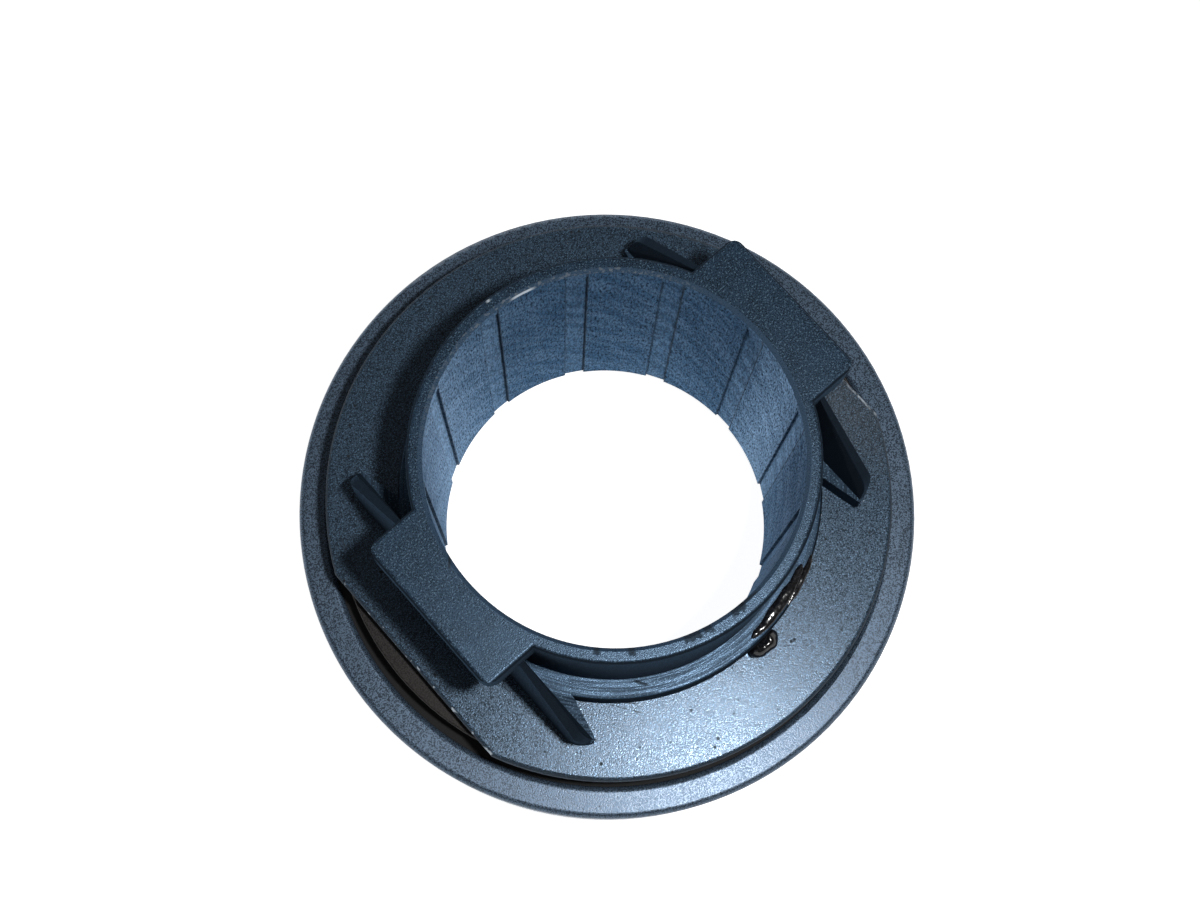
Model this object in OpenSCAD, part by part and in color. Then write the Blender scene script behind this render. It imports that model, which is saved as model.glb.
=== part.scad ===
// Self-centring clutch release bearing on a moulded guide sleeve.
// It stands on its contact face at z = 0, with the fork side up and the fork lugs along X.

/* [Guide sleeve] */
// Diameter of the bore that slides on the guide tube
bore_d = 34.1; // [30:0.1:38]
// Wall of the sleeve's tube
tube_wall = 1.45; // [1.3:0.05:2.5]
// Height of the tube above the fork plate
tube_rise = 16.8; // [15:0.1:24]
// Height of the sleeve's front end above the contact face
front_recess = 2.2; // [1.5:0.1:3]
// Number of lengthwise grooves in the bore
groove_count = 12; // [6:1:12]
// Width of each bore groove
groove_w = 2.05; // [1:0.05:2.1]
// Depth of each bore groove
groove_depth = 0.25; // [0.2:0.05:0.4]
// Plain length of bore above the grooves
groove_stop = 1.2; // [0.8:0.1:3]
// Chamfer at the bore's mouths
mouth_chamfer = 0.35; // [0.2:0.05:0.6]
// How far the collar on the plate stands out from the tube
collar_out = 2; // [1:0.1:3]
// Thickness of the collar on the plate
collar_h = 2.8; // [1.5:0.1:3.5]

/* [Fork lugs and guide walls] */
// Length of a lug along the fork finger
lug_len = 16.2; // [12:0.1:18]
// How far a lug stands out from the tube
lug_out = 3.4; // [2.5:0.1:5]
// Thickness of a lug
lug_h = 3.6; // [2.5:0.1:5]
// Radius of a lug's outer corners
lug_corner = 1.3; // [0.5:0.1:2]
// Length of a guide wall from fin tip to fin tip
wall_len = 34.4; // [32:0.1:38]
// How far the foot of a guide wall stands out from the tube
wall_out = 0.5; // [0.4:0.1:1]
// Lean of a guide wall's outer face, from its foot to its ridge
wall_lean = 0.65; // [0.3:0.05:0.8]
// Thickness of a guide wall at its ridge
wall_top = 0.5; // [0.4:0.05:0.9]
// Thickness of a guide wall at its foot
wall_foot = 1.8; // [1.6:0.1:2.4]
// Drop of the ridge below the lug's top where it leaves the lug
ridge_drop = 2.6; // [1:0.1:3]
// Angle at which the ridge falls towards the fin tip
ridge_slope = 46; // [35:1:48]
// Radius of the fin tip seen from the side
tip_round = 4.0; // [1:0.1:4.5]
// Lean of the fin tip's end, from its foot to its ridge
tip_lean = 0.7; // [0.4:0.1:1]
// Radius of the fin tip's outer corner seen from above
tip_turn = 2.4; // [1:0.1:2.5]
// Splay of a fin's inner face below its falling ridge
fin_splay = 22; // [15:1:30]
// Width of the gusset between fin and collar
gusset = 1.2; // [0.8:0.1:1.6]

/* [Fork plate] */
// Thickness of the fork plate
plate_t = 2.25; // [1.5:0.05:3]
// How far the plate's round edge stands out over the inner ring's flange
plate_over = 0.8; // [0.4:0.1:1.5]
// Depth of each flat cut from the round edge
flat_cut = 2.5; // [1.5:0.1:3.5]
// Width of the rounded upper edge
plate_round = 0.4; // [0.2:0.05:0.6]
// How far the plate's hole is cut back from the tube
plate_hole_out = 0.5; // [0.3:0.1:1]

/* [Ball bearing] */
// Diameter of the balls
ball_d = 6.35; // [5.5:0.05:6.6]
// Number of balls
ball_count = 18; // [12:1:18]
// Radial room in which the bearing finds its own centre
float_gap = 1.3; // [1.2:0.05:2]
// Wall of the inner ring's neck
neck_wall = 1.7; // [1.5:0.1:2.5]
// Wall of the outer ring
ring_wall = 3.1; // [2.5:0.1:4]
// Thickness of the contact nose below the balls
nose_t = 5.3; // [5.1:0.1:7]
// Wall of the contact nose inside the ball circle
nose_w = 2.3; // [2:0.1:2.4]
// Width of the flat contact face
face_w = 3.4; // [2.5:0.1:4.5]
// Height of the nose's cone
cone_h = 6; // [4.5:0.1:7]
// Radius of the rim's edges
rim_round = 0.6; // [0.3:0.05:0.8]
// Height of the rim above the rear seal
rim_proud = 0.5; // [0.3:0.1:1]
// Height of the flange's underside above the rim
flange_lift = 1.3; // [0.8:0.1:2]
// Thickness of the inner ring's flange
flange_t = 2; // [1.9:0.1:3]
// Gap between the flange and the outer ring's wall, seen from above
flange_gap = 1.1; // [0.8:0.1:1.6]

/* [Cage, seals and spring] */
// Depth of a cage prong below the ball centres
prong = 1; // [0.6:0.1:1.4]
// Thickness of the rear seal
rear_seal_t = 0.8; // [0.6:0.1:1.2]
// Height of the front seal
front_seal_h = 1.6; // [1.2:0.1:2]
// Thickness of the retaining ring
clip_t = 0.8; // [0.6:0.1:1]
// Radial depth of the retaining ring's seat
clip_seat = 0.5; // [0.3:0.05:0.6]
// How far the retaining ring stands out from the tube
clip_out = 1.9; // [1.6:0.1:2.2]
// Width of the retaining ring's open gap
clip_gap = 4; // [2:0.5:8]
// Thickness of the disc spring's sheet
spring_t = 0.4; // [0.3:0.05:0.5]
// Height of the disc spring
spring_h = 0.6; // [0.55:0.05:0.8]

/* [Clearances] */
// Room between a ball and its raceways
race_clear = 0.125; // [0.05:0.005:0.2]
// Room between a ball and its pocket
pocket_clear = 0.12; // [0.05:0.01:0.2]
// Room between a seal lip and the ring it runs on
lip_clear = 0.12; // [0.05:0.01:0.15]
// Room between faces that slide on each other
slide_clear = 0.05; // [0.02:0.01:0.1]
// Room between the cage and what turns beside it
cage_clear = 0.4; // [0.3:0.05:0.5]

/* [Hidden] */
$fn = 96;
eps = 0.01;
cut_over = 1;

// Radii, worked out from the bore outwards
bore_r = bore_d / 2;
tube_r = bore_r + tube_wall;
collar_r = tube_r + collar_out;
hub_r = tube_r + plate_hole_out;
keep_r = collar_r - slide_clear;
inner_bore_r = tube_r + float_gap;
neck_r = inner_bore_r + neck_wall;
ball_r = ball_d / 2;
race_r = ball_r + race_clear;
pitch_r = neck_r + race_r;
mouth_r = pitch_r + race_r;
rim_r = mouth_r + ring_wall;
shoulder_r = pitch_r + 0.5;
flange_r = mouth_r - flange_gap;
plate_r = flange_r + plate_over;
flat_x = plate_r - flat_cut;
nose_r = pitch_r - nose_w;
nose_chamfer = 0.5;
recess_r = keep_r + float_gap + cage_clear;
clip_in_r = tube_r - clip_seat + slide_clear;
clip_out_r = tube_r + clip_out;
spring_in_r = tube_r + float_gap - cage_clear;
spring_out_r = neck_r - cage_clear;
seal_foot = 0.55;

// Heights, worked out from the contact face upwards
ball_z = nose_t + race_r;
shoulder_z = ball_z + race_r;
rear_seal_z = shoulder_z + cage_clear;
rim_z = rear_seal_z + rear_seal_t + rim_proud;
flange_z = rim_z + flange_lift;
flange_top = flange_z + flange_t;
plate_z = flange_top + slide_clear;
plate_top = plate_z + plate_t;
collar_top = plate_top + collar_h;
tube_top = plate_top + tube_rise;
clip_lip = 0.7;
clip_z = front_recess + clip_lip;
spring_z = clip_z + clip_t + slide_clear;
neck_z = spring_z + spring_h + slide_clear;
keep_h = 1.2;
recess_z = plate_z - keep_h - cage_clear;
front_seal_z = nose_t - front_seal_h;
front_lip_z = neck_z + 0.2;
edge_round_r = 0.4;

// Lugs and guide walls
lug_x = tube_r + lug_out;
wall_x = tube_r + wall_out;
crest_x = wall_x - wall_lean;
foot_x = wall_x - wall_foot;
ridge_z = tube_top - ridge_drop;
tip_y = wall_len / 2;
ridge_end_y = tip_y - tip_lean;
ridge_end_z = ridge_z - (ridge_end_y - lug_len / 2) * tan(ridge_slope);

function ball_name(i) = str("ball_", i < 10 ? "0" : "", i);

plastic = [0.13, 0.16, 0.19];
plate_steel = [0.42, 0.46, 0.53];
rim_steel = [0.45, 0.47, 0.51];
flange_steel = [0.40, 0.37, 0.34];
polished = [0.72, 0.73, 0.75];
rubber = [0.05, 0.05, 0.06];
cage_plastic = [0.30, 0.22, 0.14];

function unit(v) = v / norm(v);

// The sliver to cut from the corner p of an outline, between its neighbours a and b, to round it
module corner_cut(p, a, b, r) {
    to_a = unit(a - p);
    to_b = unit(b - p);
    half = acos(to_a * to_b) / 2;
    reach = r / tan(half);
    inward = unit(to_a + to_b);
    difference() {
        polygon([p - inward * r / 4, p + reach * to_a, p + reach * to_b]);
        translate(p + inward * r / sin(half)) circle(r);
    }
}

// An outline in X and Z, drawn out along Y
module along_y(length) {
    rotate([90, 0, 0]) linear_extrude(length, center = true) children();
}

// An outline in Y and Z, drawn out along X
module along_x(length) {
    rotate([90, 0, 90]) linear_extrude(length, center = true) children();
}

// An outline in X and Y, drawn up from z0 to z1
module upright(z0, z1) {
    translate([0, 0, z0]) linear_extrude(z1 - z0) children();
}

// Section of the sleeve's tube, its clip groove, the flange below the plate and the hub in its hole
module sleeve_section() {
    inner = bore_r - tube_wall / 2;
    top_edge = [tube_r, tube_top];
    difference() {
        polygon([
            [inner, front_recess], [tube_r - edge_round_r, front_recess],
            [tube_r, front_recess + edge_round_r], [tube_r, clip_z],
            [tube_r - clip_seat, clip_z], [tube_r - clip_seat, clip_z + clip_t + slide_clear / 2],
            [tube_r, clip_z + clip_t + slide_clear / 2], [tube_r, plate_z - keep_h],
            [keep_r, plate_z - keep_h], [keep_r, plate_z], [hub_r, plate_z],
            [hub_r, plate_top], [tube_r, plate_top], top_edge, [inner, tube_top]
        ]);
        corner_cut(top_edge, top_edge - [1, 0], top_edge - [0, 1], edge_round_r);
    }
}

// The collar on the plate, cut flush with the guide walls so that the fork can reach the plate
module collar() {
    edge = [collar_r, collar_top];
    intersection() {
        rotate_extrude() difference() {
            translate([bore_r - tube_wall / 2, plate_top])
                square([collar_r - bore_r + tube_wall / 2, collar_h]);
            corner_cut(edge, edge - [1, 0], edge - [0, 1], edge_round_r);
        }
        along_y(2 * collar_r + cut_over) polygon([
            [-wall_x, plate_top], [wall_x, plate_top], [crest_x, ridge_z], [-crest_x, ridge_z]
        ]);
    }
}

// One fork lug on the +X side, with rounded corners and softened upper edges
module lug() {
    half = lug_len / 2;
    out_edge = [lug_x, tube_top];
    end_edge = [half, tube_top];
    intersection() {
        upright(tube_top - lug_h, tube_top) difference() {
            translate([0, -half]) square([lug_x, lug_len]);
            for (side = [-1, 1])
                corner_cut([lug_x, side * half], [0, side * half], [lug_x, 0], lug_corner);
        }
        along_y(lug_len) difference() {
            square([lug_x, tube_top]);
            corner_cut(out_edge, out_edge - [1, 0], out_edge - [0, 1], edge_round_r);
        }
        along_x(2 * lug_x) difference() {
            translate([-half, 0]) square([lug_len, tube_top]);
            for (side = [-1, 1])
                corner_cut([side * half, tube_top], [0, tube_top], [side * half, 0], edge_round_r);
        }
    }
}

// The guide wall on the +X side: both faces drafted, ridges falling to rounded tips
module guide_wall() {
    tip = [ridge_end_y, ridge_end_z];
    mid = [lug_len / 2, ridge_z];
    difference() {
        intersection() {
            along_x(2 * lug_x) difference() {
                polygon([
                    [-tip_y, plate_top], [tip_y, plate_top], tip, mid,
                    [-mid.x, mid.y], [-tip.x, tip.y]
                ]);
                corner_cut(tip, mid, [tip_y, plate_top], tip_round);
                mirror([1, 0]) corner_cut(tip, mid, [tip_y, plate_top], tip_round);
            }
            along_y(wall_len) polygon([
                [wall_x, plate_top], [crest_x, ridge_z], [crest_x - wall_top, ridge_z],
                [foot_x, collar_top], [foot_x, plate_top]
            ]);
            upright(plate_top, ridge_z) difference() {
                translate([0, -tip_y]) square([wall_x, wall_len]);
                for (side = [-1, 1]) {
                    corner = [wall_x, side * tip_y];
                    corner_cut(corner, [0, corner.y], [wall_x, 0], tip_turn);
                }
            }
        }
        for (side = [0, 1]) mirror([0, side, 0]) fin_splay_cut(mid);
    }
}

// Thins a fin along its falling ridge, on the inner side
module fin_splay_cut(mid) {
    edge_x = crest_x - wall_top - 0.05;
    deep = wall_foot / tan(fin_splay);
    translate([0, mid.x, mid.y]) rotate([-ridge_slope, 0, 0]) along_y(2 * wall_len) polygon([
        [edge_x + wall_foot / 2 * tan(fin_splay), wall_foot / 2],
        [edge_x - wall_foot, wall_foot / 2],
        [edge_x - wall_foot, -deep]
    ]);
}

// The collar's flat gussets, which carry the fins out to their tips
module fin_foot() {
    start_x = foot_x - gusset;
    start_y = sqrt(collar_r * collar_r - start_x * start_x);
    end_x = foot_x - gusset / 6;
    end_y = tip_y - gusset / 6;
    heel_x = foot_x + gusset / 3;
    upright(plate_top, collar_top) polygon([
        [start_x, start_y], [end_x, end_y], [heel_x, end_y],
        [heel_x, -end_y], [end_x, -end_y], [start_x, -start_y]
    ]);
}

// Everything cut out of the sleeve's inside: bore, mouth chamfers and lengthwise grooves
module sleeve_bore() {
    length = tube_top - front_recess;
    // The bore's seam is turned on to a land between two grooves
    rotate(240 / groove_count) translate([0, 0, front_recess - cut_over])
        cylinder(h = length + 2 * cut_over, r = bore_r);
    translate([0, 0, tube_top - mouth_chamfer])
        cylinder(h = 2 * mouth_chamfer, r1 = bore_r, r2 = bore_r + 2 * mouth_chamfer);
    translate([0, 0, front_recess - mouth_chamfer])
        cylinder(h = 2 * mouth_chamfer, r1 = bore_r + 2 * mouth_chamfer, r2 = bore_r);
    for (i = [0 : groove_count - 1])
        rotate(i * 360 / groove_count)
            translate([0, -groove_w / 2, front_recess - cut_over])
                cube([bore_r + groove_depth, groove_w, length + cut_over - groove_stop]);
}

module guide_sleeve() {
    color(plastic) difference() {
        union() {
            rotate_extrude() sleeve_section();
            collar();
            for (side = [0, 180]) rotate(side) {
                lug();
                guide_wall();
                fin_foot();
            }
        }
        sleeve_bore();
    }
}

module fork_plate() {
    round_edge = [plate_r, plate_top];
    flat_edge = [flat_x, plate_top];
    color(plate_steel) intersection() {
        rotate_extrude() difference() {
            translate([hub_r, plate_z]) square([plate_r - hub_r, plate_t]);
            corner_cut(round_edge, round_edge - [1, 0], round_edge - [0, 1], plate_round);
        }
        along_y(2 * plate_r + cut_over) difference() {
            translate([-flat_x, plate_z]) square([2 * flat_x, plate_t]);
            corner_cut(flat_edge, flat_edge - [1, 0], flat_edge - [0, 1], plate_round);
            mirror([1, 0])
                corner_cut(flat_edge, flat_edge - [1, 0], flat_edge - [0, 1], plate_round);
        }
    }
}

module retaining_ring() {
    color(polished) difference() {
        rotate_extrude() translate([clip_in_r, clip_z + slide_clear / 2])
            square([clip_out_r - clip_in_r, clip_t - slide_clear / 2]);
        translate([0, -clip_gap / 2, clip_z - cut_over])
            cube([clip_out_r + cut_over, clip_gap, clip_t + 2 * cut_over]);
    }
}

module centring_spring() {
    color(polished) rotate_extrude() polygon([
        [spring_in_r, spring_z], [spring_out_r, spring_z + spring_h - spring_t],
        [spring_out_r, spring_z + spring_h], [spring_in_r, spring_z + spring_t]
    ]);
}

module inner_ring() {
    flange_edge = [flange_r, flange_top];
    color(flange_steel) rotate_extrude() difference() {
        polygon([
            [inner_bore_r, neck_z], [neck_r, neck_z], [neck_r, ball_z], [pitch_r, ball_z],
            [pitch_r, shoulder_z], [shoulder_r, shoulder_z], [shoulder_r, flange_z],
            [flange_r, flange_z], flange_edge, [recess_r, flange_top],
            [recess_r, recess_z], [inner_bore_r, recess_z]
        ]);
        translate([pitch_r, ball_z]) circle(race_r);
        corner_cut(flange_edge, flange_edge - [1, 0], flange_edge - [0, 1], edge_round_r / 2);
    }
}

module outer_ring() {
    rim_out = [rim_r, rim_z];
    rim_in = [mouth_r, rim_z];
    face_in = nose_r + nose_chamfer;
    face_out = [face_in + face_w, 0];
    cone_end = [rim_r, cone_h];
    color(rim_steel) rotate_extrude() difference() {
        polygon([
            [nose_r, nose_chamfer], [face_in, 0], face_out, cone_end, rim_out, rim_in,
            [mouth_r, ball_z], [pitch_r, ball_z], [pitch_r, nose_t], [nose_r, nose_t]
        ]);
        translate([pitch_r, ball_z]) circle(race_r);
        corner_cut(rim_out, rim_in, cone_end, rim_round);
        corner_cut(rim_in, rim_out, [mouth_r, ball_z], rim_round);
        corner_cut(face_out, [face_in, 0], cone_end, 2 * rim_round);
        corner_cut(cone_end, face_out, rim_out, 4 * rim_round);
    }
}

module rear_seal() {
    lip_r = shoulder_r + lip_clear;
    color(rubber) rotate_extrude() polygon([
        [lip_r, rear_seal_z], [mouth_r, rear_seal_z], [mouth_r, rear_seal_z + rear_seal_t],
        [lip_r + rear_seal_t, rear_seal_z + rear_seal_t], [lip_r, rear_seal_z + rear_seal_t / 2]
    ]);
}

module front_seal() {
    lip_r = neck_r + lip_clear;
    top = nose_t - slide_clear;
    color(rubber) rotate_extrude() polygon([
        [nose_r - seal_foot, front_seal_z], [nose_r, front_seal_z], [nose_r, top],
        [lip_r, top], [lip_r, front_lip_z], [nose_r - seal_foot, front_lip_z]
    ]);
}

// Crown cage: a ring above the balls with prongs between them
module ball_cage() {
    in_r = pitch_r - 0.6;
    out_r = mouth_r - cage_clear - 0.3;
    base_r = shoulder_r + cage_clear;
    top = rear_seal_z - cage_clear + 0.1;
    color(cage_plastic) difference() {
        rotate_extrude() polygon([
            [in_r, ball_z - prong], [out_r, ball_z - prong], [out_r, top],
            [base_r, top], [base_r, shoulder_z - cage_clear], [in_r, shoulder_z - 2 * cage_clear]
        ]);
        for (i = [1 : ball_count])
            ball_place(i) sphere(ball_r + pocket_clear);
    }
}

module ball_place(i) {
    rotate((i - 1) * 360 / ball_count) translate([pitch_r, 0, ball_z]) children();
}

module ball(i) {
    color(polished) ball_place(i) sphere(ball_r);
}

guide_sleeve();
fork_plate();
retaining_ring();
centring_spring();
inner_ring();
outer_ring();
rear_seal();
front_seal();
ball_cage();
for (i = [1 : ball_count])
    ball(i);
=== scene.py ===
"""Looks of a self-centring clutch release bearing: finishes, grease and stage."""

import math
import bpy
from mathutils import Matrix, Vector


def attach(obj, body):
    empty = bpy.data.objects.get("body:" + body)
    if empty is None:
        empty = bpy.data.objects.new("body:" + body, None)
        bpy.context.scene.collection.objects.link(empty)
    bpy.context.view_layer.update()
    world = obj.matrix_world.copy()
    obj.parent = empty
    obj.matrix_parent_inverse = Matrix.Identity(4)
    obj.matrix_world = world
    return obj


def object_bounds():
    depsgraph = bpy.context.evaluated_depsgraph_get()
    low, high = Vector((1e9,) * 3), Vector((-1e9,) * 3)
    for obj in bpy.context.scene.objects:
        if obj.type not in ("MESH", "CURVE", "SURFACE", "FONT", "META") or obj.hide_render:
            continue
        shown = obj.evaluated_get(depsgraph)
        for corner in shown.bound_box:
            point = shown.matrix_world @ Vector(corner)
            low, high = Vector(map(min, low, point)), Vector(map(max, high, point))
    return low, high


bl_info = {
    "name": "Clutch Release Bearing Looks",
    "version": (1, 0, 0),
    "blender": (4, 5, 0),
    "location": "3D View > Sidebar > Release Bearing",
    "description": "Gives the packed clutch release bearing its finishes and sets its stage",
    "category": "Object",
}

import bmesh
import bpy
from bpy.props import FloatProperty, FloatVectorProperty, PointerProperty
from bpy.types import Operator, Panel, PropertyGroup
from mathutils import Vector, noise

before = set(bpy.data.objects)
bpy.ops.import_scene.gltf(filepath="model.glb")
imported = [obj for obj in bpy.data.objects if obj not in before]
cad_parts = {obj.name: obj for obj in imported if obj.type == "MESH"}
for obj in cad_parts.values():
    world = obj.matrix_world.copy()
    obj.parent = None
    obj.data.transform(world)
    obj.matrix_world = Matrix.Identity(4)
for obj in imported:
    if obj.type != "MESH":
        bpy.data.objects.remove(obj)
CAD_BOX = [list(corner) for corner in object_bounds()]
MM = 0.001


def colour(name, description, default):
    """A colour that a user may change."""
    return FloatVectorProperty(
        name=name,
        description=description,
        default=default,
        subtype="COLOR",
        min=0.0,
        max=1.0,
        size=3,
    )


def length(name, description, default):
    """A length in metres that a user may change."""
    return FloatProperty(
        name=name,
        description=description,
        default=default,
        unit="LENGTH",
        precision=5,
    )


def position(name, description, default):
    """A place in metres that a user may change."""
    return FloatVectorProperty(
        name=name,
        description=description,
        default=default,
        subtype="TRANSLATION",
        unit="LENGTH",
        precision=5,
    )


def amount(name, description, default):
    """A plain number that a user may change."""
    return FloatProperty(name=name, description=description, default=default, min=0.0, precision=3)


class BearingFinish(PropertyGroup):
    """Colours of the bearing's pieces."""

    sleeve: colour("Sleeve", "Moulded plastic on the sleeve's upper faces", (0.014, 0.030, 0.054))
    # Darker copy of the sleeve's plastic for its steep faces and gussets: painted shade.
    shaded_steep: colour("Sleeve sides", "Smooth dark plastic of the fins and tube", (0.008, 0.012, 0.018))
    glass: colour("Glass specks", "Pale specks of glass fibre in the plastic", (0.11, 0.18, 0.25))
    # The bore's colour is lighter and bluer than the sleeve's plastic, partly as painted reflection
    # of the white floor.
    bore: colour("Bore", "Worn wall of the sleeve's bore", (0.056, 0.158, 0.300))
    # This lighter colour serves both the bore's wipe marks and the painted sheen of two bright
    # sectors.
    bore_wipe_and_sheen: colour("Bore wipes", "Polished wipe marks in the bore", (0.260, 0.420, 0.600))
    # Dark colour of real chips, nicks, specks and scratches, also used as painted shade in the
    # bore's groove corners.
    chip_and_shade: colour("Chips", "Chipped and dirty spots", (0.006, 0.006, 0.006))
    # Pale colour of real dust and scuffs, also used for painted glints and a painted highlight on
    # the plate's edge.
    scuff_and_glint: colour("Scuffs", "Pale scuffs on edges", (0.62, 0.70, 0.78))
    plate: colour("Fork plate", "Blue-grey phosphated sheet", (0.042, 0.073, 0.112))
    rim: colour("Outer ring", "Grey steel of the turning ring", (0.086, 0.130, 0.190))
    flange: colour("Inner ring", "Brown-grey steel of the standing ring", (0.030, 0.027, 0.026))
    ball: colour("Balls", "Polished bearing steel", (0.62, 0.63, 0.65))
    spring: colour("Spring steel", "Disc spring and snap ring", (0.12, 0.12, 0.125))
    seal: colour("Seals", "Black rubber", (0.010, 0.010, 0.011))
    cage: colour("Cage", "Brown moulding of the ball cage", (0.10, 0.060, 0.030))
    grease: colour("Grease", "Dark old grease", (0.006, 0.006, 0.007))


class BearingStage(PropertyGroup):
    """Camera, lamp and floor."""

    camera_place: position("Camera place", "Where the camera stands", (-0.02544, -0.02182, 0.18238))
    camera_turn: FloatVectorProperty(
        name="Camera turn",
        description="How the camera is turned",
        default=(math.radians(12.932), math.radians(-1.255), math.radians(-41.6)),
        subtype="EULER",
        unit="ROTATION",
    )
    lens: amount("Lens", "Focal length in millimetres", 51.0)
    lamp_place: position("Lamp place", "Where the soft lamp hangs", (0.0022, -0.0369, 0.190))
    lamp_size: length("Lamp size", "Diameter of the soft lamp", 0.012)
    lamp_power: amount("Lamp power", "Power of the soft lamp in watts", 0.165)
    sky: amount("Sky", "Strength of the even light from all round", 0.10)
    floor_size: length("Floor size", "Radius of the round floor", 4.0)
    floor_drop: length("Floor drop", "Gap that keeps the floor clear of the part", 0.00005)
    floor_glow: amount("Floor glow", "How white the floor and its wall look", 0.95)
    backdrop: length("Backdrop", "Height of the white wall round the floor", 1.8)


class Tone:
    """An output socket of a material. Sums with it add the Math nodes they need."""

    def __init__(self, tree, socket=None):
        self.tree = tree
        self.socket = socket

    def node(self, kind, settings=None, inputs=None, out=0):
        """Add a node: its settings come first, then the values or links of its sockets."""
        made = self.tree.nodes.new("ShaderNode" + kind)
        for name, value in (settings or {}).items():
            setattr(made, name, value)
        for name, value in (inputs or {}).items():
            if isinstance(value, Tone):
                self.tree.links.new(value.socket, made.inputs[name])
            else:
                made.inputs[name].default_value = value
        return Tone(self.tree, made.outputs[out])

    def maths(self, operation, *values):
        """Add a Math node to numbers or tones."""
        return self.node("Math", {"operation": operation}, dict(enumerate(values)))

    def __add__(self, other):
        return self.maths("ADD", self, other)

    __radd__ = __add__

    def __sub__(self, other):
        return self.maths("SUBTRACT", self, other)

    def __rsub__(self, other):
        return self.maths("SUBTRACT", other, self)

    def __mul__(self, other):
        return self.maths("MULTIPLY", self, other)

    __rmul__ = __mul__

    def step(self, low, high):
        """0 below low and 1 above high, softly between; high below low turns it round."""
        if high < low:
            return 1 - self.step(high, low)
        inputs = {"Value": self, "From Min": low, "From Max": high}
        return self.node("MapRange", {"interpolation_type": "SMOOTHSTEP"}, inputs)

    def near(self, half, soft):
        """1 where the value is within half of zero and 0 away from it."""
        return self.maths("ABSOLUTE", self).step(half + soft, half - soft)

    def mix(self, first, second):
        """The first colour where this is 0, the second where it is 1."""
        as_rgba = [c if isinstance(c, Tone) else (*c, 1.0) for c in (first, second)]
        settings = {"data_type": "RGBA", "clamp_factor": True}
        return self.node("Mix", settings, {0: self, 6: as_rgba[0], 7: as_rgba[1]}, 2)


class Finish:
    """A new material with its shader, and places on the piece in millimetres."""

    def __init__(self, name, **constants):
        self.material = bpy.data.materials.new(name)
        self.material.use_nodes = True
        tree = self.material.node_tree
        self.shader = tree.nodes["Principled BSDF"]
        self.root = Tone(tree)
        place = self.root.node("TexCoord", out="Object")
        self.mm = self.root.node("VectorMath", {"operation": "SCALE"}, {0: place, "Scale": 1 / MM})
        self.x, self.y, self.z = [self.part(self.mm, axis) for axis in "XYZ"]
        self.r = self.root.maths("SQRT", self.x * self.x + self.y * self.y)
        self.turn = self.root.maths("ARCTAN2", self.y, self.x)
        self.up = self.part(self.root.node("TexCoord", out="Normal"), "Z")
        for socket, value in constants.items():
            self.shader.inputs[socket.replace("_", " ")].default_value = value

    def part(self, vector, axis):
        """One of a vector's three parts."""
        return self.root.node("SeparateXYZ", None, {0: vector}, axis)

    def around(self, per_mm, radius):
        """Place as radius, arc length and height, for marks that run round the part."""
        inputs = {
            "X": self.r * per_mm[0],
            "Y": self.turn * (radius * per_mm[1]),
            "Z": self.z * per_mm[2],
        }
        return self.root.node("CombineXYZ", None, inputs)

    def noise(self, scale, detail=2.0, rough=0.5, where=None):
        """Cloudy noise from 0 to 1, with scale in marks per millimetre."""
        inputs = {"Vector": where or self.mm, "Scale": scale, "Detail": detail, "Roughness": rough}
        return self.root.node("TexNoise", None, inputs, "Fac")

    def cells(self, scale):
        """Distance to the nearest of many scattered points, for specks."""
        return self.root.node("TexVoronoi", None, {"Vector": self.mm, "Scale": scale}, "Distance")

    def sector(self, heading, half, soft=0.6):
        """1 within half a sector of a heading about the axis, all in degrees."""
        away = self.root.maths("WRAP", self.turn * math.degrees(1) - heading, 180, -180)
        return away.near(half, soft)

    def stroke(self, start, end, half):
        """1 along a straight mark in plan between two places in millimetres."""
        (x0, y0), (x1, y1) = start, end
        span = math.dist(start, end)
        ux, uy = (x1 - x0) / span, (y1 - y0) / span
        from_x, from_y = self.x - (x0 + x1) / 2, self.y - (y0 + y1) / 2
        along = from_x * ux + from_y * uy
        across = from_y * ux - from_x * uy
        return along.near(span / 2, 0.25) * across.near(half, half * 0.7)

    def feed(self, **tones):
        """Link what varies over the surface to the shader."""
        for socket, tone in tones.items():
            self.root.tree.links.new(tone.socket, self.shader.inputs[socket.replace("_", " ")])
        return self.material

    def bump(self, height, distance, strength):
        """Fine relief, with its full height in millimetres."""
        inputs = {"Height": height, "Distance": distance * MM, "Strength": strength}
        return self.root.node("Bump", None, inputs)


def shade(tint, factor):
    """A colour made darker or lighter."""
    return [min(1.0, part * factor) for part in tint]


# Sizes of the solids that the marks on them keep to, in millimetres
BORE_R = 17.05
COLLAR_R = 20.5
PLATE_TOP = 19.2
# Distance of the plate's flats from the axis
FLAT_X = 25.3
GROOVES = 12
# Half the angle of a bore groove, in degrees
GROOVE_HALF = 3.42
# Headings of the chips on the near inner edge, in degrees, with half their width
CHIPS = ((-137.0, 0.9), (-127.0, 1.0), (-109.0, 2.6), (-104.0, 1.4), (-93.5, 2.4))
# Nicks in the sleeve: the two ends of each in plan and half its width, in millimetres
END_NICKS = (((-17.6, 1.9), (-16.7, 2.9), 0.12), ((-0.7, -17.18), (1.2, -17.24), 0.10))
COLLAR_NICK = ((-10.7, -15.4), (-10.0, -16.5), 0.13)


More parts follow.
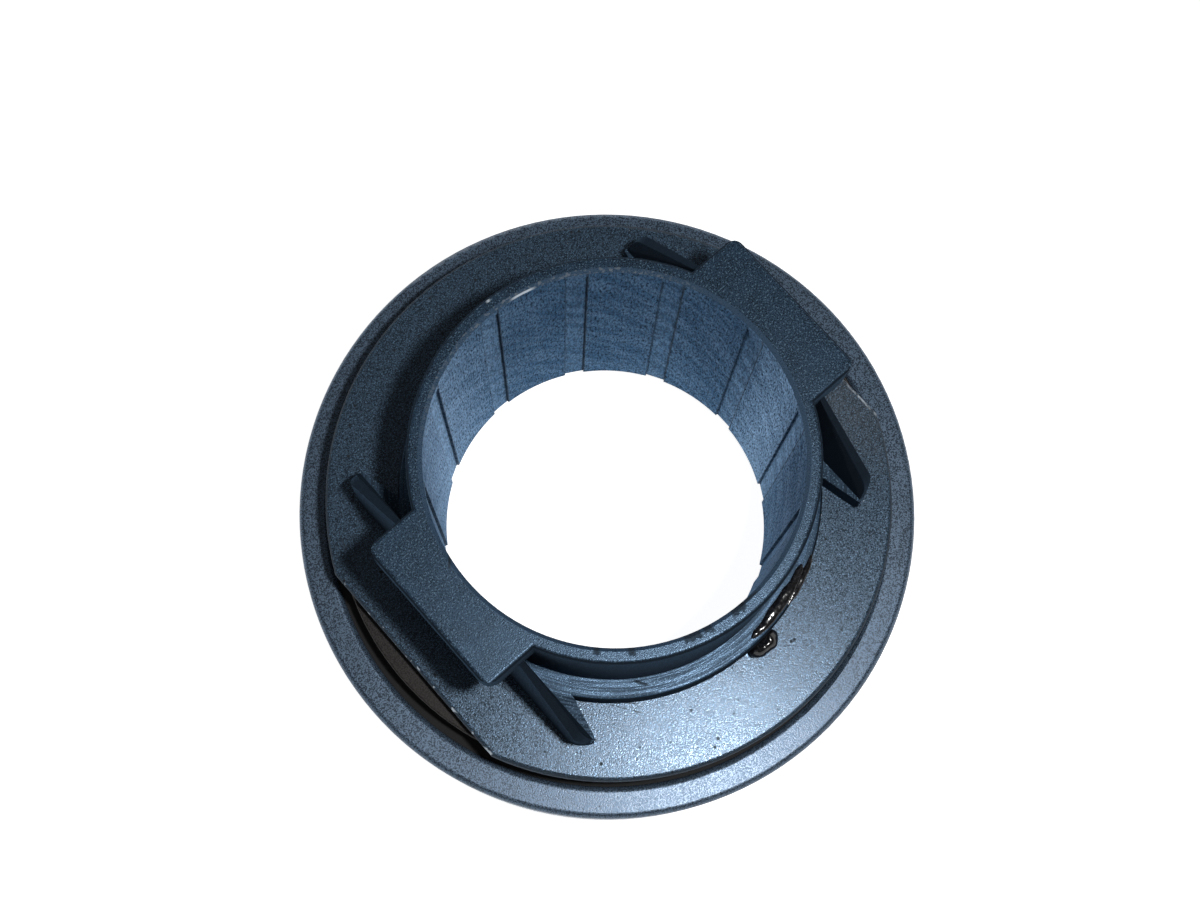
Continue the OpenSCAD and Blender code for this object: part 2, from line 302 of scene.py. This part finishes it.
def sleeve_plastic(tones):
    """Glass-filled plastic: sandy upper faces, smooth sides painted darker as shade, and a worn
    bore with painted sheen.
    """
    f = Finish("sleeve_plastic", Specular_IOR_Level=0.81, Specular_Tint=(0.46, 0.70, 1.0, 1.0))
    top = CAD_BOX[1][2] / MM
    at_top = f.z.step(top - 0.7, top - 0.5)
    upper = f.up.step(0.80, 0.96)
    in_bore = f.r.step(BORE_R + 0.36, BORE_R + 0.32)
    mouth = at_top * f.r.step(BORE_R + 0.42, BORE_R + 0.36) * f.up.step(0.3, 0.5)
    wall = in_bore * (1 - upper) * (1 - mouth)
    dull = (1 - upper) * (1 - mouth) * (1 - wall)
    low = f.z.step(top - 10, top - 11)
    past_collar = f.r.step(COLLAR_R - 0.2, COLLAR_R + 0.1)

    # Upper faces and sides painted darker as shade, with turned streaks on the collar
    grain = f.noise(9.0, 1.0, 0.6)
    sand = grain.step(0.40, 0.60)
    cloud = f.noise(0.45, 3.0)
    glass = f.noise(6.5, 0.0).step(0.63, 0.70)
    mottle = 0.75 * sand + 0.35 * cloud.step(0.3, 0.7)
    face = mottle.mix(shade(tones.sleeve, 0.10), shade(tones.sleeve, 1.35))
    turned = f.noise(1.0, 3.0, 0.7, f.around((6.0, 0.12, 0.0), 20)).step(0.45, 0.57)
    streaks = 0.65 * turned + 0.35 * sand
    streaked = streaks.mix(shade(tones.sleeve, 0.10), shade(tones.sleeve, 4.0))
    face = (0.75 * low).mix(face, streaked)
    # Painted shade: the gussets past the collar take the darker side colour.
    face = (0.65 * low * past_collar).mix(face, tones.shaded_steep)
    face = (glass * (0.8 + 0.2 * low)).mix(face, tones.glass)
    shaded_side = (0.6 * cloud + 0.4 * sand).mix(shade(tones.shaded_steep, 0.6), shade(tones.shaded_steep, 1.5))

    # Chips and nicks, a painted glint streak and glint dot, and the pale bore mouth
    ragged = f.r + 0.8 * f.noise(2.2, 2.0)
    chips = sum(f.sector(heading, half) for heading, half in CHIPS)
    chipped = at_top * chips * ragged.step(BORE_R + 1.15, BORE_R + 0.90)
    nick = at_top * sum(f.stroke(*mark) for mark in END_NICKS) + low * f.stroke(*COLLAR_NICK)
    dotted = f.noise(3.0, 2.0, 0.6).step(0.50, 0.66) * f.sector(75, 50, 18)
    # The bore's chamfer is painted lighter than the sleeve, as painted light against its shade,
    # with pale dots on its far part.
    edge = (dotted * 0.6).mix(shade(tones.sleeve, 1.6), shade(tones.scuff_and_glint, 0.30))
    # Painted highlights: a glint streak across the far chamfer and a glint dot on the outer edge.
    glint_streak = f.sector(77.5, 3.6, 1.5) * f.r.step(BORE_R + 0.17, BORE_R + 0.12)
    glint_dot = f.sector(87.3, 0.45) * f.r.step(18.0, 18.1) * at_top * upper
    outside = (1 - (1 - upper) * (1 - mouth)).mix(shaded_side, mouth.mix(face, edge))
    outside = (glint_streak * mouth + glint_dot).mix(outside, tones.scuff_and_glint)
    outside = (chipped * 0.8 + nick).mix(outside, tones.chip_and_shade)

    # Bore, with painted shade in the groove corners, painted sheen in two sectors, wipe marks and
    # pores
    pitch = 360 / GROOVES
    from_groove = f.root.maths("WRAP", f.turn * math.degrees(1), pitch / 2, -pitch / 2)
    in_groove = from_groove.near(GROOVE_HALF, 0.1)
    # Painted shade: the groove corners are darkened, one side more than the other.
    faint_corner_shade = 0.55 * (from_groove - GROOVE_HALF).near(0.35, 0.25)
    corner = faint_corner_shade + (from_groove + GROOVE_HALF).near(0.4, 0.25)
    arc = f.turn * BORE_R
    slant = f.root.node("CombineXYZ", None, {"X": (arc + f.z) * 0.10, "Y": (arc - f.z) * 0.5})
    wiped = f.noise(1.0, 2.5, 0.6, slant).step(0.36, 0.64)
    drawn = f.noise(1.0, 2.0, 0.6, f.around((1.0, 1.7, 0.03), BORE_R)).step(0.40, 0.65)
    # Painted sheen: two sectors of the bore are painted lighter where its wall reflects the floor;
    # they are also made glossier.
    sheen_and_gloss = f.sector(121, 22, 26) + f.sector(-18, 12, 12)
    pores = f.noise(1.0, 2.0, 0.6, f.around((1.0, 4.2, 1.5), BORE_R)).step(0.50, 0.62)
    pores = pores * (1 - 0.6 * in_groove)
    worn = f.noise(1.0, 2.0, 0.75, f.around((1.0, 5.0, 1.4), BORE_R)).step(0.40, 0.60)
    wipes_and_sheen = 0.22 * wiped + 0.16 * drawn + 0.6 * sheen_and_gloss + 0.10 * in_groove
    bore = wipes_and_sheen.mix(tones.bore, tones.bore_wipe_and_sheen)
    bore = (0.62 * (1 - worn) + 0.38 * pores).mix(bore, shade(tones.bore, 0.12))
    bore = (corner * 0.8).mix(bore, tones.chip_and_shade)

    # Gloss and relief
    rough = 0.255 + 0.18 * sand + 0.465 * dull + 0.35 * chipped + 0.3 * nick
    rough = rough + wall * (0.425 + 0.2 * pores - 0.2 * sheen_and_gloss - 0.1 * wiped)
    rough = rough + low * upper * (0.26 * (1 - turned) + 0.26 * past_collar - 0.08)
    height = grain + 0.5 * f.noise(1.6, 2.0) - 0.6 * (pores * wall) - 1.0 * chipped
    return f.feed(
        Base_Color=wall.mix(outside, bore),
        Roughness=rough,
        Metallic=0.75 * dull + 0.6 * wall,
        Normal=f.bump(height, 0.025, 0.7),
    )


# Scratches on the fork plate, as places in millimetres
SCRATCHES = (
    ((-13.7, -15.4), (-12.0, -17.9)),
    ((-12.9, -15.7), (-11.8, -17.0)),
    ((-24.0, 9.0), (-22.5, 14.0)),
    ((12.0, -22.5), (16.5, -20.0)),
    ((22.0, -16.0), (24.5, -8.0)),
    ((5.0, 23.0), (-4.0, 24.5)),
)


def plate_steel(tones):
    """Blue-grey phosphated sheet with fine sparkle, dark specks and short scratches."""
    f = Finish(
        "plate_steel",
        Metallic=0.33,
        Specular_IOR_Level=0.72,
        Specular_Tint=(0.74, 0.85, 0.98, 1.0),
    )
    grain = f.noise(8.2, 1.0, 0.6)
    sand = grain.step(0.40, 0.60)
    cloud = f.noise(0.13, 3.0)
    base = (0.8 * sand + 0.2 * cloud).mix(shade(tones.plate, 0.42), shade(tones.plate, 1.48))
    film = f.sector(-12, 20, 14) * (0.2 + 0.4 * f.noise(0.6, 3.0))
    base = film.mix(base, shade(tones.scuff_and_glint, 0.2))
    sparkle = f.noise(7.5, 0.0).step(0.65, 0.71)
    base = (sparkle * 0.9).mix(base, shade(tones.plate, 4.0))
    specks = f.cells(0.8).step(0.16, 0.09) * f.noise(0.5, 1.0).step(0.46, 0.56)
    scratched = sum(f.stroke(start, end, 0.05) for start, end in SCRATCHES)
    scratched = scratched * f.noise(2.0, 1.0).step(0.35, 0.5)
    base = (specks * 0.9 + scratched * 0.7).mix(base, tones.chip_and_shade)
    dust = f.cells(1.7).step(0.10, 0.05) * f.noise(0.35, 1.0).step(0.50, 0.62) * f.x.step(2.0, 14.0)
    brim = f.z.step(PLATE_TOP - 0.35, PLATE_TOP - 0.2)
    far_edge = brim * f.x.step(FLAT_X - 0.4, FLAT_X - 0.2)
    near_edge = brim * f.x.step(0.3 - FLAT_X, 0.15 - FLAT_X)
    # Painted highlight: short bright marks along the far flat's top edge, where light catches it.
    edge_glint_run = f.y.step(-11.9, -11.2) * f.y.step(-5.0, -7.0)
    painted_edge_glint = far_edge * edge_glint_run * f.noise(1.4, 2.0).step(0.4, 0.55)
    # Painted glints along the near flat's top edge.
    glints = near_edge * f.noise(1.3, 1.0).step(0.62, 0.67)
    # Painted shade: the plate's sides and bevelled edge are darkened, and also made rougher.
    shaded_side = f.up.step(0.97, 0.80)
    base = (0.75 * shaded_side).mix(base, shade(tones.plate, 0.2))
    base = (dust * 0.7 + painted_edge_glint * 0.8 + glints).mix(base, tones.scuff_and_glint)
    rough = 0.18 + 0.16 * sand + 0.04 * cloud + 0.5 * specks + 0.4 * scratched + 0.45 * shaded_side
    return f.feed(Base_Color=base, Roughness=rough, Normal=f.bump(grain, 0.0175, 0.8))


def ring_steel(name, tint, grain_scale, rough, metal, contrast=0.5, specular=0.5):
    """Turned steel with a fine grain and faint rings round its axis."""
    f = Finish(name, Metallic=metal, Specular_IOR_Level=specular)
    grain = f.noise(grain_scale, 1.0, 0.6)
    sand = grain.step(0.42, 0.60)
    rings = f.noise(1.0, 2.0, 0.5, f.around((3.0, 0.05, 3.0), 25))
    cloud = f.noise(0.25, 3.0)
    tone = 0.7 * sand + 0.15 * rings + 0.15 * cloud
    base = tone.mix(shade(tint, 1 - 0.8 * contrast), shade(tint, 1 + 0.9 * contrast))
    specks = f.cells(0.9).step(0.12, 0.06) * f.noise(0.4, 1.0).step(0.52, 0.62)
    base = (specks * 0.6).mix(base, shade(tint, 0.15))
    roughness = rough + 0.18 * (sand - 0.5) + 0.04 * rings + 0.3 * specks
    relief = f.bump(grain + 0.4 * rings, 0.016, contrast)
    return f.feed(Base_Color=base, Roughness=roughness, Normal=relief)


def seal_rubber(tones):
    """Matt black rubber with a little dust."""
    f = Finish("seal_rubber", Specular_IOR_Level=0.3)
    grain = f.noise(3.0, 3.0)
    base = grain.mix(tones.seal, shade(tones.seal, 2.2))
    return f.feed(Base_Color=base, Roughness=0.6 + 0.25 * grain, Normal=f.bump(grain, 0.01, 0.4))


def cage_plastic(tones):
    """Brown moulded plastic of the ball cage."""
    f = Finish("cage_plastic", Specular_IOR_Level=0.4)
    grain = f.noise(2.2, 4.0, 0.6)
    base = grain.mix(shade(tones.cage, 0.7), shade(tones.cage, 1.4))
    return f.feed(Base_Color=base, Roughness=0.4 + 0.2 * grain, Normal=f.bump(grain, 0.01, 0.3))


def old_grease(tones):
    """Dark wet grease with grit in it."""
    f = Finish("old_grease", Specular_IOR_Level=0.6)
    grit = f.noise(4.0, 3.0, 0.65)
    base = grit.step(0.45, 0.75).mix(tones.grease, shade(tones.grease, 6))
    ripple = f.noise(1.4, 1.0)
    return f.feed(Base_Color=base, Roughness=0.08 + 0.16 * grit, Normal=f.bump(ripple, 0.12, 0.6))


def dress(nodes, material):
    """Give CAD nodes a finish in place of the one they were packed with."""
    for name in nodes:
        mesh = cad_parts[name].data
        mesh.materials.clear()
        mesh.materials.append(material)


class BEARING_OT_sleeve(Operator):
    """Finish the guide sleeve"""

    bl_idname = "bearing.sleeve"
    bl_label = "Guide Sleeve"

    def execute(self, context):
        dress(["guide_sleeve"], sleeve_plastic(context.scene.bearing_finish))
        return {"FINISHED"}


class BEARING_OT_plate(Operator):
    """Finish the fork plate"""

    bl_idname = "bearing.plate"
    bl_label = "Fork Plate"

    def execute(self, context):
        dress(["fork_plate"], plate_steel(context.scene.bearing_finish))
        return {"FINISHED"}


class BEARING_OT_rings(Operator):
    """Finish the inner and the outer ring"""

    bl_idname = "bearing.rings"
    bl_label = "Bearing Rings"

    def execute(self, context):
        tones = context.scene.bearing_finish
        rim = ring_steel("rim_steel", tones.rim, 7.6, 0.33, 0.45, contrast=0.8, specular=0.55)
        flange = ring_steel(
            "flange_steel", tones.flange, 7.0, 0.50, 0.4, contrast=0.85, specular=0.25
        )
        dress(["outer_ring"], rim)
        dress(["inner_ring"], flange)
        return {"FINISHED"}


class BEARING_OT_inside(Operator):
    """Finish the balls, cage, seals, disc spring and retaining ring"""

    bl_idname = "bearing.inside"
    bl_label = "Inner Pieces"

    def execute(self, context):
        tones = context.scene.bearing_finish
        balls = [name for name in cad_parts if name.startswith("ball_")]
        balls.remove("ball_cage")
        dress(balls, ring_steel("ball_steel", tones.ball, 8.0, 0.08, 1.0))
        dress(["ball_cage"], cage_plastic(tones))
        dress(["rear_seal", "front_seal"], seal_rubber(tones))
        spring_steel = ring_steel("spring_steel", tones.spring, 5.0, 0.30, 1.0)
        dress(["centring_spring", "retaining_ring"], spring_steel)
        return {"FINISHED"}


# Dabs of grease on the collar's edge: heading in degrees, then radius, height and half sizes
# along, across and up, in millimetres
DABS = {
    "grease_smear": (-76.5, 19.75, 21.98, 4.4, 0.55, 0.26),
    "grease_lump": (-87.0, 20.9, 20.2, 1.7, 0.95, 1.15),
    "grease_streak": (-68.0, 20.3, 21.9, 2.8, 0.38, 0.22),
}


class BEARING_OT_grease(Operator):
    """Lay dabs of old grease on the collar's edge"""

    bl_idname = "bearing.grease"
    bl_label = "Old Grease"

    def execute(self, context):
        material = old_grease(context.scene.bearing_finish)
        for name, (heading, radius, height, along, across, up) in DABS.items():
            form = bmesh.new()
            bmesh.ops.create_icosphere(form, subdivisions=5, radius=1.0)
            for vert in form.verts:
                place = vert.co * Vector((along, across, up))
                swell = 1 + 0.5 * noise.fractal(place * 0.55 + Vector((heading, 0, 0)), 1.0, 2.0, 2)
                turn = math.radians(heading) + place.x / radius
                out = radius + place.y * swell
                rise = height + place.z * swell
                vert.co = Vector((out * math.cos(turn), out * math.sin(turn), rise)) * MM
            bmesh.ops.recalc_face_normals(form, faces=form.faces)
            for face in form.faces:
                face.smooth = True
            mesh = bpy.data.meshes.new(name)
            form.to_mesh(mesh)
            form.free()
            mesh.materials.append(material)
            dab = bpy.data.objects.new(name, mesh)
            context.collection.objects.link(dab)
            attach(dab, "sleeve")
        return {"FINISHED"}


class BEARING_OT_stage(Operator):
    """Set the camera, the lamp, the sky and the floor"""

    bl_idname = "bearing.stage"
    bl_label = "Stage"

    def execute(self, context):
        stage = context.scene.bearing_stage
        camera_data = bpy.data.cameras.new("camera")
        camera_data.sensor_fit = "HORIZONTAL"
        camera_data.sensor_width = 36.0
        camera_data.lens = stage.lens
        camera_data.clip_start = 0.01
        camera = bpy.data.objects.new("camera", camera_data)
        camera.location = stage.camera_place
        camera.rotation_euler = stage.camera_turn
        context.collection.objects.link(camera)
        context.scene.camera = camera

        lamp_data = bpy.data.lights.new("lamp", "AREA")
        lamp_data.shape = "DISK"
        lamp_data.size = stage.lamp_size
        lamp_data.energy = stage.lamp_power
        lamp = bpy.data.objects.new("lamp", lamp_data)
        lamp.location = stage.lamp_place
        aim = Vector((0, 0, CAD_BOX[1][2] / 2)) - lamp.location
        lamp.rotation_euler = aim.to_track_quat("-Z", "Y").to_euler()
        lamp.visible_camera = False
        context.collection.objects.link(lamp)

        world = bpy.data.worlds.new("sky")
        world.use_nodes = True
        sky = world.node_tree.nodes["Background"]
        sky.inputs["Color"].default_value = (1, 1, 1, 1)
        sky.inputs["Strength"].default_value = stage.sky
        context.scene.world = world

        self.floor(context, stage)
        context.scene.view_settings.view_transform = "Standard"
        return {"FINISHED"}

    def floor(self, context, stage):
        """A round white floor that keeps the part's shadow, with a low white wall behind it."""
        form = bmesh.new()
        bmesh.ops.create_circle(form, cap_ends=True, segments=96, radius=stage.floor_size)
        edges = [edge for edge in form.edges if edge.is_boundary]
        raised = bmesh.ops.extrude_edge_only(form, edges=edges)["geom"]
        wall_top = [part for part in raised if isinstance(part, bmesh.types.BMVert)]
        bmesh.ops.translate(form, verts=wall_top, vec=(0, 0, stage.backdrop))
        bmesh.ops.translate(form, verts=form.verts, vec=(0, 0, -stage.floor_drop))
        mesh = bpy.data.meshes.new("floor")
        form.to_mesh(mesh)
        form.free()
        floor = bpy.data.objects.new("floor", mesh)
        context.collection.objects.link(floor)
        f = Finish("floor_paper", Base_Color=(0.8, 0.8, 0.8, 1), Roughness=0.9)
        rays = ("Is Camera Ray", "Is Glossy Ray", "Is Transmission Ray")
        seen = sum(f.root.node("LightPath", out=ray) for ray in rays)
        glow = f.root.node("Emission", None, {"Strength": stage.floor_glow})
        paper = Tone(f.root.tree, f.shader.outputs[0])
        both = f.root.node("AddShader", None, {0: paper, 1: glow})
        surface = f.root.node("MixShader", None, {0: seen.step(0.2, 0.8), 1: paper, 2: both})
        output = f.root.tree.nodes["Material Output"]
        f.root.tree.links.new(surface.socket, output.inputs["Surface"])
        mesh.materials.append(f.material)


class BEARING_PT_looks(Panel):
    """Lists the bearing's finishes"""

    bl_idname = "BEARING_PT_looks"
    bl_label = "Release Bearing"
    bl_space_type = "VIEW_3D"
    bl_region_type = "UI"
    bl_category = "Release Bearing"

    def draw(self, context):
        for operator in OPERATORS:
            self.layout.operator(operator.bl_idname)
        for group in (context.scene.bearing_finish, context.scene.bearing_stage):
            box = self.layout.box()
            for name in group.__annotations__:
                box.prop(group, name)


OPERATORS = (
    BEARING_OT_sleeve,
    BEARING_OT_plate,
    BEARING_OT_rings,
    BEARING_OT_inside,
    BEARING_OT_grease,
    BEARING_OT_stage,
)
CLASSES = (BearingFinish, BearingStage, *OPERATORS, BEARING_PT_looks)


def register():
    for cls in CLASSES:
        bpy.utils.register_class(cls)
    bpy.types.Scene.bearing_finish = PointerProperty(type=BearingFinish)
    bpy.types.Scene.bearing_stage = PointerProperty(type=BearingStage)


def unregister():
    del bpy.types.Scene.bearing_stage
    del bpy.types.Scene.bearing_finish
    for cls in reversed(CLASSES):
        bpy.utils.unregister_class(cls)


def main():
    register()
    bpy.ops.bearing.sleeve()
    bpy.ops.bearing.plate()
    bpy.ops.bearing.rings()
    bpy.ops.bearing.inside()
    bpy.ops.bearing.grease()
    bpy.ops.bearing.stage()


if __name__ == "__main__":
    main()
